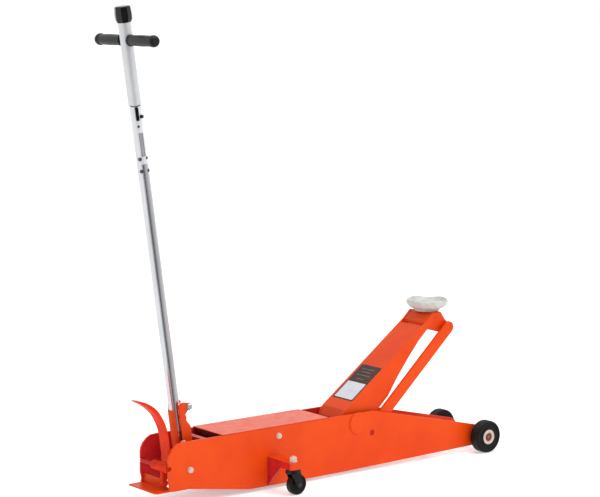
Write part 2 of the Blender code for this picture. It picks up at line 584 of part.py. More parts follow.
def handle_socket(finishes, axis):
    paint = finishes["orange"]
    lobe = (-ROLLER_DROP * math.sin(HANDLE_LEAN), -ROLLER_DROP * math.cos(HANDLE_LEAN))
    clamp = (0.0350, 0.1768)
    socket = prism("handle_socket", cheek_outline(lobe, clamp), -0.0340, -0.0280, paint, axis, edge=0.0008)
    join(socket, prism("handle_socket_left", cheek_outline(lobe, clamp), 0.0280, 0.0340, paint, axis,
                       edge=0.0008))
    join(socket, prism("handle_socket_web", rectangle(0.0270, 0.0325, 0.0250, 0.1050), -0.0290, 0.0290,
                       paint, axis))
    for level in (0.0960, 0.1400):
        rest = prism(f"handle_rest_{level:.3f}", rectangle(0.0017, 0.0243, -0.0290, 0.0290), level,
                     level + 0.0060, paint, axis, "Z")
        cut(rest, turned(f"handle_rest_notch_{level:.3f}", rod_profile(SOCKET_R - 0.001, 0.0900, 0.1500),
                         paint, axis))
        join(socket, rest)
    sleeve = turned("handle_socket_sleeve", tube_profile(TUBE_R + 0.0004, SOCKET_R, 0.0300, 0.1720, 0.001),
                    paint, axis, segments=32)
    slit = [(0, 0)] + arc((0, 0), 0.0400, -121, -48, 4)
    cut(sleeve, prism("handle_socket_slit", slit, 0.0200, 0.1800, paint, axis, "Z"))
    join(socket, sleeve)
    floor = prism("handle_socket_floor", rectangle(-0.0175, 0.0280, -0.0290, 0.0290), 0.0285, 0.0345,
                  paint, axis, "Z")
    cut(floor, turned("handle_floor_hole", rod_profile(0.0075, 0.0200, 0.0500), paint, axis))
    join(socket, floor)
    drill(socket, (0, 0), YOKE_PIN_R + SHAFT_FIT, -0.05, 0.05, segments=18)
    drill(socket, clamp, 0.0053, -0.05, 0.05, segments=16)
    drill(socket, lobe, 0.0043, 0.0200, 0.0500, segments=14)
    roller = [(0, 0.0275), (0.0040, 0.0275), (0.0040, 0.0345), (ROLLER_R, 0.0345), (ROLLER_R, 0.0545),
              (0, 0.0545)]
    turned("pump_roller", roller, finishes["steel"], axis, "Y", 20, (lobe[0], 0, lobe[1]))
    shank, head = hex_bolt_mesh(0.0050, -0.0343, 0.0343, 0.0415)
    nut = turned_mesh([(0, -0.0415), (0.0086, -0.0415), (0.0098, -0.0403), (0.0098, -0.0343),
                       (0, -0.0343)], 6)
    for bm in (shank, head, nut):
        bmesh.ops.rotate(bm, matrix=Matrix.Rotation(math.pi / 2, 3, "X"), verts=bm.verts)
    spot = (clamp[0], 0, clamp[1])
    bolt = place("clamp_bolt", shank, finishes["chrome"], axis, spot)
    join(bolt, place("clamp_bolt_head", head, finishes["chrome"], axis, spot))
    join(bolt, place("clamp_bolt_nut", nut, finishes["chrome"], axis, spot))


def radial_block(name, turn, near, far, half_width, low, high, material, axis, edge=0.0):
    """A block on the side of the handle, facing outwards at an angle round it."""
    marker = empty(f"{name}_face", axis)
    marker.rotation_euler = (0, 0, turn)
    return prism(name, rectangle(near, far, -half_width, half_width), low, high, material, marker, "Z", edge)


def handle_tubes(finishes, axis):
    chrome, plastic = finishes["chrome"], finishes["plastic"]
    lower = turned("lower_tube", tube_profile(TUBE_R - 0.003, TUBE_R, 0.0348, SLEEVE_FOOT + 0.06), chrome,
                   axis, segments=32)
    cut(lower, radial_block("tube_slot", SLOT_TURN, 0.0050, 0.0300, 0.0075, BUTTON_UP - 0.1270,
                            BUTTON_UP - 0.0510, chrome, axis))
    marker = empty("button_face", axis, (0, 0, BUTTON_UP))
    marker.rotation_euler = (0, 0, BUTTON_TURN)
    cut(lower, turned("button_hole", rod_profile(0.0062, 0.0050, 0.0300), chrome, marker, "X", 16))
    sleeve = turned("upper_tube", tube_profile(TUBE_R + FIT, SLEEVE_R, SLEEVE_FOOT, KNOB_FOOT - FIT),
                    chrome, axis, segments=32)
    drill(sleeve, (0, CROSS_BAR_UP), 0.0113, -0.05, 0.05, segments=20)
    latch = radial_block("latch_plate", LATCH_TURN, TUBE_R - 0.003, TUBE_R + 0.0055, 0.0052,
                         BUTTON_UP - 0.0110, BUTTON_UP + 0.0310, plastic, axis, edge=0.0010)
    cut(latch, turned("latch_plate_seat", rod_profile(TUBE_R + FIT, 1.0500, 1.2500), plastic, axis,
                      segments=32))
    turned("latch_button", rod_profile(0.0058, 0.0132, 0.0250, 0.0010), plastic, marker, "X", 20)


def cross_handle(finishes, axis):
    half = GRIP_END - 0.008
    bar = turned("cross_bar", rod_profile(0.0110, -half, half, 0.001), finishes["chrome"], axis, "Y", 24,
                 (0, 0, CROSS_BAR_UP))
    cut(bar, turned("cross_bar_rod_hole", rod_profile(0.0056, 1.3500, 1.4100), finishes["chrome"], axis))
    inner = 0.0222
    profile = [(0.0113, inner), (0.0178, inner), (0.0190, inner + 0.0012), (0.0190, inner + 0.0050),
               (0.0165, inner + 0.0080), (0.0172, 0.0570), (0.0178, 0.0900), (0.0172, 0.1220),
               (0.0165, 0.1440), (0.0190, 0.1475), (0.0190, 0.1550), (0.0165, 0.1612), (0.0110, GRIP_END),
               (0, GRIP_END), (0, GRIP_END - 0.0074), (0.0113, GRIP_END - 0.0074)]
    for label, side in SIDES.items():
        bm = grip_mesh(profile, side)
        place(f"grip_{label}", bm, finishes["rubber"], axis, (0, 0, CROSS_BAR_UP))


def grip_mesh(profile, side):
    """A grip is a turned cup: its outside closes on the axis at the end, and so does its bore."""
    outside = [p for p in profile[:14]]
    bore = profile[14:]
    bm = turned_mesh([(0, bore[0][1]), (bore[1][0], bore[1][1])] + outside, 28)
    turn_to(bm, "Y")
    if side < 0:
        bmesh.ops.scale(bm, vec=(1, -1, 1), verts=bm.verts)
    return bm


def build_handle(finishes, jack):
    pivot = (YOKE_PIVOT[0], 0, YOKE_PIVOT[1])
    axis = empty("handle_axis", jack, pivot, -HANDLE_LEAN)
    handle_socket(finishes, axis)
    handle_tubes(finishes, axis)
    cross_handle(finishes, axis)
    facets = [(0, KNOB_FOOT), (0.0225, KNOB_FOOT), (0.0265, KNOB_FOOT + 0.0090),
              (0.0275, KNOB_FOOT + 0.0230), (0.0255, KNOB_TOP - 0.0030), (0.0230, KNOB_TOP), (0, KNOB_TOP)]
    turned("release_knob", facets, finishes["plastic"], axis, segments=8)
    rod = turned("release_rod", [(0, 0.0120), (0.0095, 0.0120), (0.0095, 0.0160), (0.0050, 0.0160),
                                 (0.0050, KNOB_FOOT - FIT), (0, KNOB_FOOT - FIT)],
                 finishes["steel"], axis, segments=16)
    valve = empty("valve_axis", jack, pivot, -VALVE_SLANT)
    stem = turned("release_valve", [(0, -0.0880), (0.0050, -0.0880), (0.0050, -0.0160), (0.0095, -0.0160),
                                    (0.0095, -0.0120), (0, -0.0120)], finishes["steel"], valve,
                  segments=16)
    for name, side in (("one", -1), ("two", 1)):
        low, high = mirrored(side, 0.0060, 0.0090)
        join(rod, prism(f"release_rod_prong_{name}", rectangle(-0.0040, 0.0040, -0.0060, 0.0130), low, high,
                        finishes["steel"], axis))
        join(stem, prism(f"release_valve_prong_{name}", rectangle(-0.0040, 0.0040, -0.0130, 0.0060), low,
                         high, finishes["steel"], valve, "X"))


# ---- pumps and pedal ------------------------------------------------------------------------------
def smooth_path(points, steps=4):
    """A Catmull-Rom curve through the points, with this many steps between each two."""
    ends = [points[0]] + points + [points[-1]]
    path = []
    for a, b, c, d in zip(ends, ends[1:], ends[2:], ends[3:]):
        for step in range(steps):
            t = step / steps
            path.append(tuple(
                0.5 * (2 * q + (r - p) * t + (2 * p - 5 * q + 4 * r - w) * t**2
                       + (3 * q - p - 3 * r + w) * t**3)
                for p, q, r, w in zip(a, b, c, d)))
    return path + [points[-1]]


def pedal_outline():
    """Side view of the pedal strip from its pivot: up, then curling back and thinning to its tip."""
    front = [(0.0085, 0.0060), (0.0090, 0.0379), (0.0060, 0.0800), (-0.0020, 0.1272), (-0.0165, 0.1625),
             (-0.0430, 0.1995), (-0.0820, 0.2250), (-0.1122, 0.2322)]
    rear = [(-0.1130, 0.2300), (-0.0750, 0.2082), (-0.0410, 0.1778), (-0.0222, 0.1459), (-0.0110, 0.1149),
            (-0.0045, 0.0760), (-0.0002, 0.0379), (-0.0005, 0.0060)]
    return smooth_path(front) + smooth_path(rear)


def build_pumps(finishes, jack):
    plunger_tip = YOKE_PIVOT[0] + ROLLER_R + FIT
    turned("pump_plunger", rod_profile(0.0070, plunger_tip, -1.1750, 0.0008), finishes["steel"], jack, "X",
           18, (0, PUMP_Y, PLUNGER_Z))
    foot_tip = PEDAL_PIVOT[0] + ROLLER_R + FIT
    turned("foot_pump_rod", rod_profile(0.0060, foot_tip, -1.1700, 0.0008), finishes["steel"], jack, "X",
           18, (0, FOOT_PUMP_Y, PEDAL_PIVOT[1] - TOE_DROP))
    axis = empty("pedal_axis", jack, (PEDAL_PIVOT[0], 0, PEDAL_PIVOT[1]))
    paint = finishes["orange"]
    pedal = prism("foot_pedal", pedal_outline(), -0.0762, -0.0362, paint, axis, edge=0.0008)
    join(pedal, turned("foot_pedal_hub", rod_profile(0.0160, -0.0765, 0.0050), paint, axis, "Y", 24))
    join(pedal, prism("foot_pedal_toe", capsule((0, 0), (0, -TOE_DROP), 0.0090), -0.0560, -0.0440, paint,
                      axis))
    join(pedal, turned("foot_pedal_roller", rod_profile(ROLLER_R, -0.0585, -0.0415), paint, axis, "Y", 20,
                       (0, 0, -TOE_DROP)))
    drill(pedal, (0, 0), 0.0070 + SHAFT_FIT, -0.1, 0.1, segments=18)


# ---- the whole jack -------------------------------------------------------------------------------
def build():
    for old in list(bpy.data.objects):
        bpy.data.objects.remove(old, do_unlink=True)
    finishes = make_finishes()
    jack = empty("jack", None, (FRONT_AXLE_X, 0, 0))
    build_chassis(finishes, jack)
    for label, side in SIDES.items():
        front_wheel(label, side, finishes, jack)
        caster(label, side, finishes, jack)
    build_hydraulics(finishes, jack)
    build_ram(finishes, jack)
    build_lift(finishes, jack)
    build_handle(finishes, jack)
    build_pumps(finishes, jack)


build()
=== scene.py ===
"""Looks for the long-chassis hydraulic floor jack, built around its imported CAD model.

Metres, +Z up, +X forward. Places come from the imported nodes, so every piece sits where the CAD says.
"""

import math

import bmesh
import bpy
from mathutils import Matrix, Vector


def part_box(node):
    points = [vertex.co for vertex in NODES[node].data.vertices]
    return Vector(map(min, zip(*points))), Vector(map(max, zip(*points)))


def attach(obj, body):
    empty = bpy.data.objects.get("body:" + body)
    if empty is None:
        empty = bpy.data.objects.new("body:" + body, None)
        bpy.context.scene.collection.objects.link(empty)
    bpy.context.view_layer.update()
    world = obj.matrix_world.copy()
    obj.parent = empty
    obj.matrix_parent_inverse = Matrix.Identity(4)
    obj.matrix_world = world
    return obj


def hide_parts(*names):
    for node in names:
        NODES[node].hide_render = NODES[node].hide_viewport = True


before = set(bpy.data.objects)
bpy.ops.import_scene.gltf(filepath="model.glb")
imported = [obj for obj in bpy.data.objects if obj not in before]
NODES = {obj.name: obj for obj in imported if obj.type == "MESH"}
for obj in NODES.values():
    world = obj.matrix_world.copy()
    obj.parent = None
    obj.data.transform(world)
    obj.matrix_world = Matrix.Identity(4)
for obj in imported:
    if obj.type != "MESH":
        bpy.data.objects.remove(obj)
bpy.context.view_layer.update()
SIDES = {"right": -1, "left": 1}
IDENTITY = Matrix.Identity(4)


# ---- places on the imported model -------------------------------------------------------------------
def middle(node):
    low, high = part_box(node)
    return (low + high) / 2


AXLE = middle("front_axle")
ARM_PIVOT = middle("main_pivot_shaft")
SADDLE_PIVOT = middle("saddle_mount_pin")
YOKE_PIVOT = Vector((middle("yoke_pivot_pin_right").x, 0, middle("yoke_pivot_pin_right").z))
CROSS_BAR = middle("cross_bar")
PLATE_OUTER_FACE = 0.0850
DECK_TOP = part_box("top_cover")[1].z


def side_frame(origin, angle):
    """A frame turned about Y, so that its X axis rises at this angle from +X."""
    return Matrix.Translation(origin) @ Matrix.Rotation(-angle, 4, "Y")


arm_reach = SADDLE_PIVOT - ARM_PIVOT
ARM_ANGLE = math.atan2(arm_reach.z, arm_reach.x)
ARM = side_frame(ARM_PIVOT, ARM_ANGLE)
handle_reach = CROSS_BAR - YOKE_PIVOT
HANDLE_LEAN = math.atan2(-handle_reach.x, handle_reach.z)
HANDLE = side_frame(YOKE_PIVOT, HANDLE_LEAN)


# ---- camera, floor and light ----------------------------------------------------------------------
IMAGE_WIDTH = 600
CAMERA_PLACE = Vector((-4.1628, -5.3179, 1.6678))
CAMERA_YAW = math.radians(37.778)
CAMERA_PITCH = math.radians(7.477)
CAMERA_ROLL = math.radians(0.058)
FOCAL_PIXELS = 2013.85
SENSOR_WIDTH = 36

LIGHT_SIZE = 3.0
LIGHTS = (                             # name, place, aim, watts
    ("key", (2.0, -4.5, 4.5), (0, 0, 0.3), 52),
    ("top", (0.5, -1.0, 4.5), (0, 0, 0.2), 60),
)
FLOOR_REACH = 60.0
FLOOR_GLOW = 0.40


def make_camera():
    forward = Vector((math.sin(CAMERA_YAW) * math.cos(CAMERA_PITCH),
                      math.cos(CAMERA_YAW) * math.cos(CAMERA_PITCH), -math.sin(CAMERA_PITCH)))
    level = Vector((math.cos(CAMERA_YAW), -math.sin(CAMERA_YAW), 0))
    upright = level.cross(forward)
    right = level * math.cos(CAMERA_ROLL) + upright * math.sin(CAMERA_ROLL)
    up = upright * math.cos(CAMERA_ROLL) - level * math.sin(CAMERA_ROLL)
    camera = bpy.data.objects.new("camera", bpy.data.cameras.new("camera"))
    camera.data.sensor_width = SENSOR_WIDTH
    camera.data.lens = FOCAL_PIXELS / IMAGE_WIDTH * SENSOR_WIDTH
    turn = Matrix((right, up, -forward)).transposed().to_4x4()
    camera.matrix_world = Matrix.Translation(CAMERA_PLACE) @ turn
    bpy.context.scene.collection.objects.link(camera)
    bpy.context.scene.camera = camera


def area_light(name, place, aim, power):
    light = bpy.data.lights.new(name, "AREA")
    light.shape = "RECTANGLE"
    light.size = light.size_y = LIGHT_SIZE
    light.energy = power
    obj = bpy.data.objects.new(name, light)
    obj.location = place
    obj.rotation_euler = (Vector(aim) - Vector(place)).to_track_quat("-Z", "Y").to_euler()
    bpy.context.scene.collection.objects.link(obj)


def make_floor():
    corners = [(-FLOOR_REACH, -FLOOR_REACH, 0), (FLOOR_REACH, -FLOOR_REACH, 0),
               (FLOOR_REACH, FLOOR_REACH, 0), (-FLOOR_REACH, FLOOR_REACH, 0)]
    mesh = bpy.data.meshes.new("floor")
    mesh.from_pydata(corners, [], [(0, 1, 2, 3)])
    mesh.materials.append(plain_floor())
    floor = bpy.data.objects.new("floor", mesh)
    bpy.context.scene.collection.objects.link(floor)
    floor.visible_glossy = False


# ---- procedural materials -------------------------------------------------------------------------
NOISE_ROUGHNESS = 0.55


class Surface:
    """A node material: a Principled shader with helpers for object-space noise, mixing and bump."""

    def __init__(self, name, roughness, metallic, **values):
        self.material = bpy.data.materials.new(name)
        self.material.use_nodes = True
        self.tree = self.material.node_tree
        self.shader = self.tree.nodes["Principled BSDF"]
        self.shader.inputs["Roughness"].default_value = roughness
        self.shader.inputs["Metallic"].default_value = metallic
        for socket, value in values.items():
            self.shader.inputs[socket.replace("_", " ")].default_value = value
        self.place = self.node("ShaderNodeTexCoord").outputs["Object"]

    def node(self, kind, links=None, **settings):
        node = self.tree.nodes.new(kind)
        for key, value in settings.items():
            setattr(node, key, value)
        for socket, value in (links or {}).items():
            target = node.inputs[socket]
            if isinstance(value, bpy.types.NodeSocket):
                self.tree.links.new(value, target)
            else:
                target.default_value = value
        return node

    def noise(self, scale, detail, stretch=None):
        place = self.place
        if stretch:
            place = self.node("ShaderNodeMapping", {"Vector": place, "Scale": stretch}).outputs[0]
        return self.node("ShaderNodeTexNoise", {"Vector": place, "Scale": scale, "Detail": detail,
                                                "Roughness": NOISE_ROUGHNESS}).outputs["Fac"]

    def step(self, value, low, high, to_low=0.0, to_high=1.0):
        return self.node("ShaderNodeMapRange", {"Value": value, "From Min": low, "From Max": high,
                                                "To Min": to_low, "To Max": to_high},
                         interpolation_type="SMOOTHSTEP").outputs["Result"]

    def math(self, operation, one, two=0.0):
        return self.node("ShaderNodeMath", {0: one, 1: two}, operation=operation).outputs[0]

    def dot(self, one, two):
        node = self.node("ShaderNodeVectorMath", {0: one, 1: two}, operation="DOT_PRODUCT")
        return node.outputs["Value"]

    def parts(self):
        """The X, Y and Z of the shaded point, as outputs."""
        return self.node("ShaderNodeSeparateXYZ", {"Vector": self.place}).outputs

    def blend(self, share, one, two):
        node = self.node("ShaderNodeMix", data_type="RGBA")
        sockets = {"Factor": node.inputs[0], "A": node.inputs[6], "B": node.inputs[7]}
        for socket, value in (("Factor", share), ("A", one), ("B", two)):
            if isinstance(value, bpy.types.NodeSocket):
                self.tree.links.new(value, sockets[socket])
            elif socket == "Factor":
                sockets[socket].default_value = value
            else:
                sockets[socket].default_value = (*value, 1.0)
        return node.outputs[2]

    def soft_edges(self, radius):
        return self.node("ShaderNodeBevel", {"Radius": radius}, samples=4).outputs["Normal"]

    def edge_mask(self, normal, near, far):
        """1 along convex and concave edges, from how far the bevelled normal leans off the true one."""
        true = self.node("ShaderNodeNewGeometry").outputs["True Normal"]
        return self.step(self.dot(normal, true), near, far, 1.0, 0.0)

    def bump(self, height, distance, strength, normal):
        links = {"Height": height, "Distance": distance, "Strength": strength, "Normal": normal}
        return self.node("ShaderNodeBump", links).outputs["Normal"]

    def use(self, **sockets):
        for socket, value in sockets.items():
            self.tree.links.new(value, self.shader.inputs[socket.replace("_", " ")])
        return self.material


SATIN_ROUGHNESS, SATIN_METALLIC = 0.50, 0.45
DEEP_SHADE = 0.72          # how much darker the patches of the painted shade are
SMUDGE_STRETCH = (1, 1, 0.15)
GLOSS_STRETCH = (1, 1, 0.05)
SCRATCH_STRETCH = (1, 1, 0.02)


def linear(red, green, blue):
    """A screen colour, 0 to 255 a channel, as linear light."""
    def one(value):
        value /= 255
        return value / 12.92 if value <= 0.04045 else ((value + 0.055) / 1.055) ** 2.4
    return tuple(one(value) for value in (red, green, blue))


def orange_paint(name, painted_shade_mask=None, shade_colour=linear(205, 38, 40), specular=0.17):
    """Sprayed orange enamel. Where the given mask is 1, shade is painted in: the colour turns to the given
    shade colour, in uneven darker patches.
    """
    surface = Surface(name, 0.36, 0.0, Specular_IOR_Level=specular)
    soft = surface.soft_edges(0.0012)
    tint = surface.blend(surface.step(surface.noise(7.0, 2.0), 0.30, 0.75),
                         linear(231, 75, 11), linear(222, 66, 10))
    spots = surface.step(surface.noise(160.0, 4.0), 0.40, 0.80, 0.0, 0.25)
    fine = surface.blend(spots, tint, linear(212, 55, 12))
    # Lighter edges: partly paint worn off at the edges, partly a painted highlight along them.
    edge = surface.edge_mask(soft, 0.80, 0.985)
    wear_and_highlight = surface.math("MULTIPLY", edge, surface.step(surface.noise(55.0, 3.0), 0.40, 0.62, 0.10, 0.45))
    colour = surface.blend(wear_and_highlight, fine, linear(247, 128, 80))
    # Painted shade: where the mask is 1, the colour is blended to a deeper, darker red.
    if painted_shade_mask:
        uneven = surface.step(surface.noise(20.0, 3.0), 0.30, 0.75)
        darker = tuple(channel * DEEP_SHADE for channel in shade_colour)
        colour = surface.blend(painted_shade_mask(surface), colour, surface.blend(uneven, shade_colour, darker))
    rough = surface.step(surface.noise(24.0, 4.0), 0.25, 0.80, 0.28, 0.44)
    peel = surface.bump(surface.noise(330.0, 2.0), 0.00045, 0.20, soft)
    return surface.use(Base_Color=colour, Roughness=rough, Normal=peel)


def chrome(name, light=linear(238, 239, 243), dark=linear(222, 223, 228), roughness=(0.17, 0.25),
           metallic=1.0, dull_from=None):
    """Plating with faint smudges and marks drawn out upwards. Above dull_from on the handle it is satin."""
    surface = Surface(name, roughness[0], metallic)
    soft = surface.soft_edges(0.0007)
    smudges = surface.step(surface.noise(40.0, 4.0, stretch=SMUDGE_STRETCH), 0.35, 0.75)
    tint = surface.blend(smudges, light, dark)
    rough = surface.step(surface.noise(90.0, 4.0, stretch=GLOSS_STRETCH), 0.30, 0.75, *roughness)
    scratches = surface.bump(surface.noise(700.0, 2.0, stretch=SCRATCH_STRETCH), 0.0001, 0.08, soft)
    if dull_from:
        handle_way = handle_reach.normalized()
        along = surface.dot(surface.place, tuple(handle_way))
        edge = dull_from + YOKE_PIVOT.dot(handle_way)
        dull = surface.step(along, edge - 0.002, edge + 0.002)
        rough = surface.math("MAXIMUM", rough, surface.math("MULTIPLY", dull, SATIN_ROUGHNESS))
        surface.use(Metallic=surface.step(dull, 0.0, 1.0, metallic, SATIN_METALLIC))
    return surface.use(Base_Color=tint, Roughness=rough, Normal=scratches)


def steel(name="turned_steel", light=linear(176, 174, 172), dark=linear(140, 136, 132)):
    surface = Surface(name, 0.35, 1.0)
    soft = surface.soft_edges(0.0008)
    tint = surface.blend(surface.step(surface.noise(60.0, 4.0), 0.35, 0.70), light, dark)
    rough = surface.step(surface.noise(240.0, 3.0), 0.30, 0.75, 0.26, 0.44)
    marks = surface.bump(surface.noise(900.0, 2.0, stretch=(1, 0.1, 1)), 0.0002, 0.15, soft)
    return surface.use(Base_Color=tint, Roughness=rough, Normal=marks)


def zinc():
    surface = Surface("zinc_plating", 0.38, 0.35)
    soft = surface.soft_edges(0.0010)
    crystals = surface.node("ShaderNodeTexVoronoi", {"Vector": surface.place, "Scale": 260.0})
    cells = crystals.outputs["Distance"]
    tint = surface.blend(surface.step(cells, 0.1, 0.7), linear(240, 216, 200), linear(222, 198, 184))
    rough = surface.step(surface.noise(120.0, 3.0), 0.30, 0.75, 0.30, 0.46)
    return surface.use(Base_Color=tint, Roughness=rough, Normal=surface.bump(cells, 0.0002, 0.12, soft))


def moulded(name, light, dark, roughness, grain=420.0, depth=0.0003, strength=0.2, specular=0.4):
    """Rubber, plastic or enamel: two close tones, uneven gloss and a fine grain."""
    surface = Surface(name, roughness[0], 0.0, Specular_IOR_Level=specular)
    soft = surface.soft_edges(0.0010)
    tint = surface.blend(surface.step(surface.noise(32.0, 4.0), 0.35, 0.75), light, dark)
    rough = surface.step(surface.noise(70.0, 3.0), 0.30, 0.75, *roughness)
    return surface.use(Base_Color=tint, Roughness=rough,
                       Normal=surface.bump(surface.noise(grain, 3.0), depth, strength, soft))


def cast_metal():
    surface = Surface("cast_saddle", 0.5, 0.15)
    soft = surface.soft_edges(0.0015)
    tint = surface.blend(surface.step(surface.noise(45.0, 5.0), 0.35, 0.72),
                         linear(210, 210, 207), linear(192, 192, 188))
    rough = surface.step(surface.noise(160.0, 3.0), 0.30, 0.75, 0.42, 0.60)
    return surface.use(Base_Color=tint, Roughness=rough,
                       Normal=surface.bump(surface.noise(520.0, 4.0), 0.0005, 0.30, soft))


def plain_floor():
    surface = Surface("studio_floor", 0.9, 0.0, Specular_IOR_Level=0.1)
    tint = surface.blend(surface.noise(0.8, 2.0), (0.93, 0.93, 0.93), (0.95, 0.95, 0.95))
    surface.shader.inputs["Emission Color"].default_value = (1, 1, 1, 1)
    surface.shader.inputs["Emission Strength"].default_value = FLOOR_GLOW
    return surface.use(Base_Color=tint)


INNER_SKIN = (0.0778, 0.0785)          # just outside the inner faces of the side plates
INSIDE_FADE, INSIDE_LEAST = 0.25, 0.25
SHELF_UNDERSIDE = (0.0870, 0.0900)


def painted_shade_between_plates(surface):
    """1 between the side plates, fading out ahead of the lift arm's pivot: there the shade between the
    plates is painted in.
    """
    parts = surface.parts()
    within = surface.step(surface.math("ABSOLUTE", parts["Y"]), *INNER_SKIN, 1.0, 0.0)
    behind = surface.step(parts["X"], ARM_PIVOT.x, ARM_PIVOT.x + INSIDE_FADE, 1.0, INSIDE_LEAST)
    return surface.math("MULTIPLY", within, behind)


def painted_shade_under_shelf(surface):
    """1 below the shelf of a caster bracket and on its rear face, where shade is painted in."""
    parts = surface.parts()
    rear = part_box("caster_bracket_right")[0].x
    below = surface.step(parts["Z"], *SHELF_UNDERSIDE, 1.0, 0.0)
    on_rear = surface.step(parts["X"], rear + 0.0008, rear + 0.0030, 0.9, 0.0)
    return surface.math("MAXIMUM", below, on_rear)


def painted_shade_under_deck(surface):
    """1 on the lips below the sheet of the top cover, where their shade is painted in."""
    return surface.step(surface.parts()["Z"], DECK_TOP - 0.0030, DECK_TOP - 0.0020, 1.0, 0.0)


def painted_shade_all_over(surface):
    """Nearly 1 all over, a little less in patches: the whole part takes the painted shade."""
    return surface.step(surface.noise(14.0, 2.0), 0.10, 0.30, 0.80, 1.0)


ORANGE = orange_paint("orange_enamel")
# The side plates carry painted shade on their inner faces.
PLATE_ORANGE = orange_paint("orange_side_plate_painted_shade", painted_shade_between_plates)
# The caster brackets and their welds carry painted shade below the shelf and on the rear face.
SHELF_ORANGE = orange_paint("orange_bracket", painted_shade_under_shelf)
# The top cover's lips carry painted shade, a near-black red.
COVER_ORANGE = orange_paint("orange_cover_painted_shade", painted_shade_under_deck, shade_colour=linear(84, 20, 16), specular=0.55)
# Parts between the plates and the anchor pins are painted darker all over, as painted shade.
SHADED_ORANGE = orange_paint("orange_inside_painted_shade", painted_shade_all_over, shade_colour=linear(190, 36, 30))
# The pedal is painted a deeper orange all over, as painted shade on its side turned from the light.
PEDAL_ORANGE = orange_paint("orange_pedal_painted_shade", painted_shade_all_over, shade_colour=linear(226, 56, 22), specular=0.05)
BRIGHT = chrome("bright_chrome")
TUBE = chrome("handle_chrome", dull_from=0.9850)
SATIN = chrome("satin_chrome", linear(226, 228, 230), linear(214, 216, 219), roughness=(0.42, 0.52),
               metallic=0.55)
GREY = chrome("slot_lining", linear(168, 168, 172), linear(140, 140, 146), roughness=(0.40, 0.55),
              metallic=0.30)
DARK_STEEL = steel("dark_fastener", linear(112, 112, 114), linear(84, 84, 86))
STEEL = steel()
ZINC = zinc()
TYRE = moulded("tyre_rubber", linear(13, 12, 12), linear(25, 23, 22), roughness=(0.46, 0.66),
               grain=700.0, depth=0.0004, strength=0.3, specular=0.3)
GRIP = moulded("grip_rubber", linear(8, 8, 9), linear(18, 18, 19), roughness=(0.30, 0.44), specular=0.45)
PLASTIC = moulded("black_moulding", linear(9, 9, 10), linear(18, 18, 19), roughness=(0.16, 0.28),
                  grain=300.0, specular=0.5)
ENAMEL = moulded("black_enamel", linear(18, 18, 19), linear(30, 29, 30), roughness=(0.28, 0.42))
CAST = cast_metal()
# Brown steel for the axle ends, its reddish tone a painted reflection of the orange paint round it.
AXLE_END_BROWN = moulded("oiled_axle_end", linear(122, 66, 50), linear(84, 44, 34), roughness=(0.50, 0.75),
               grain=260.0, depth=0.0005, strength=0.4, specular=0.15)
PRINTED = {"grain": 900.0, "depth": 0.0001, "strength": 0.1}
LABEL_DARK = moulded("label_ink", linear(72, 49, 44), linear(58, 40, 36), roughness=(0.34, 0.44),
                     specular=0.2, **PRINTED)
LABEL_LINE = moulded("label_lines", linear(132, 112, 108), linear(110, 92, 88), roughness=(0.34, 0.44),
                     specular=0.2, **PRINTED)
LABEL_PALE = moulded("label_panel", linear(218, 218, 228), linear(208, 208, 219), roughness=(0.30, 0.40),
                     **PRINTED)

SLOT_MATERIALS = {
    "orange_paint": ORANGE, "chrome": BRIGHT, "bare_steel": STEEL, "zinc_plate": ZINC,
    "wheel_rubber": TYRE, "black_rubber": GRIP, "black_plastic": PLASTIC, "black_paint": ENAMEL,
    "light_cast_metal": CAST,
}
# Parts that take the painted shade all over.
SHADED_NODES = ("pump_body", "reservoir_tube", "cylinder_bulkhead", "front_cross_tube", "cover_crossbar",
              "pedal_shaft")
NODE_MATERIALS = {"upper_tube": SATIN, "lower_tube": TUBE, "saddle_mount_pin": ORANGE,
                  "top_cover": COVER_ORANGE, "foot_pedal": PEDAL_ORANGE}
for shaded_node in SHADED_NODES:
    NODE_MATERIALS[shaded_node] = SHADED_ORANGE
for which in SIDES:
    NODE_MATERIALS[f"side_plate_{which}"] = PLATE_ORANGE
    NODE_MATERIALS[f"caster_bracket_{which}"] = SHELF_ORANGE
    NODE_MATERIALS[f"link_anchor_pin_{which}"] = SHADED_ORANGE
    NODE_MATERIALS[f"front_frame_bolt_{which}"] = ZINC
    NODE_MATERIALS[f"rear_frame_bolt_{which}"] = ZINC


def dress_nodes():
    for name, node in NODES.items():
        for slot in node.material_slots:
            standard = SLOT_MATERIALS[slot.material.name.split(".")[0]]
            slot.material = NODE_MATERIALS.get(name, standard)


# ---- world ----------------------------------------------------------------------------------------
DARK_FROM, DARK_TO = -136.0, -80.0     # degrees round the room, anticlockwise from +X
WALL_STOPS = (                         # degrees and brightness of the wall that reflections see
    (-180, 0.92), (DARK_FROM - 5, 0.86), (DARK_FROM + 5, 0.10), (DARK_TO - 22, 0.13), (DARK_TO, 0.46),
    (-30, 0.62), (20, 0.95), (90, 1.0), (180, 0.92),
)
SOFT_LIGHT = (0.68, 0.92)              # strength from behind the jack, and from ahead of it


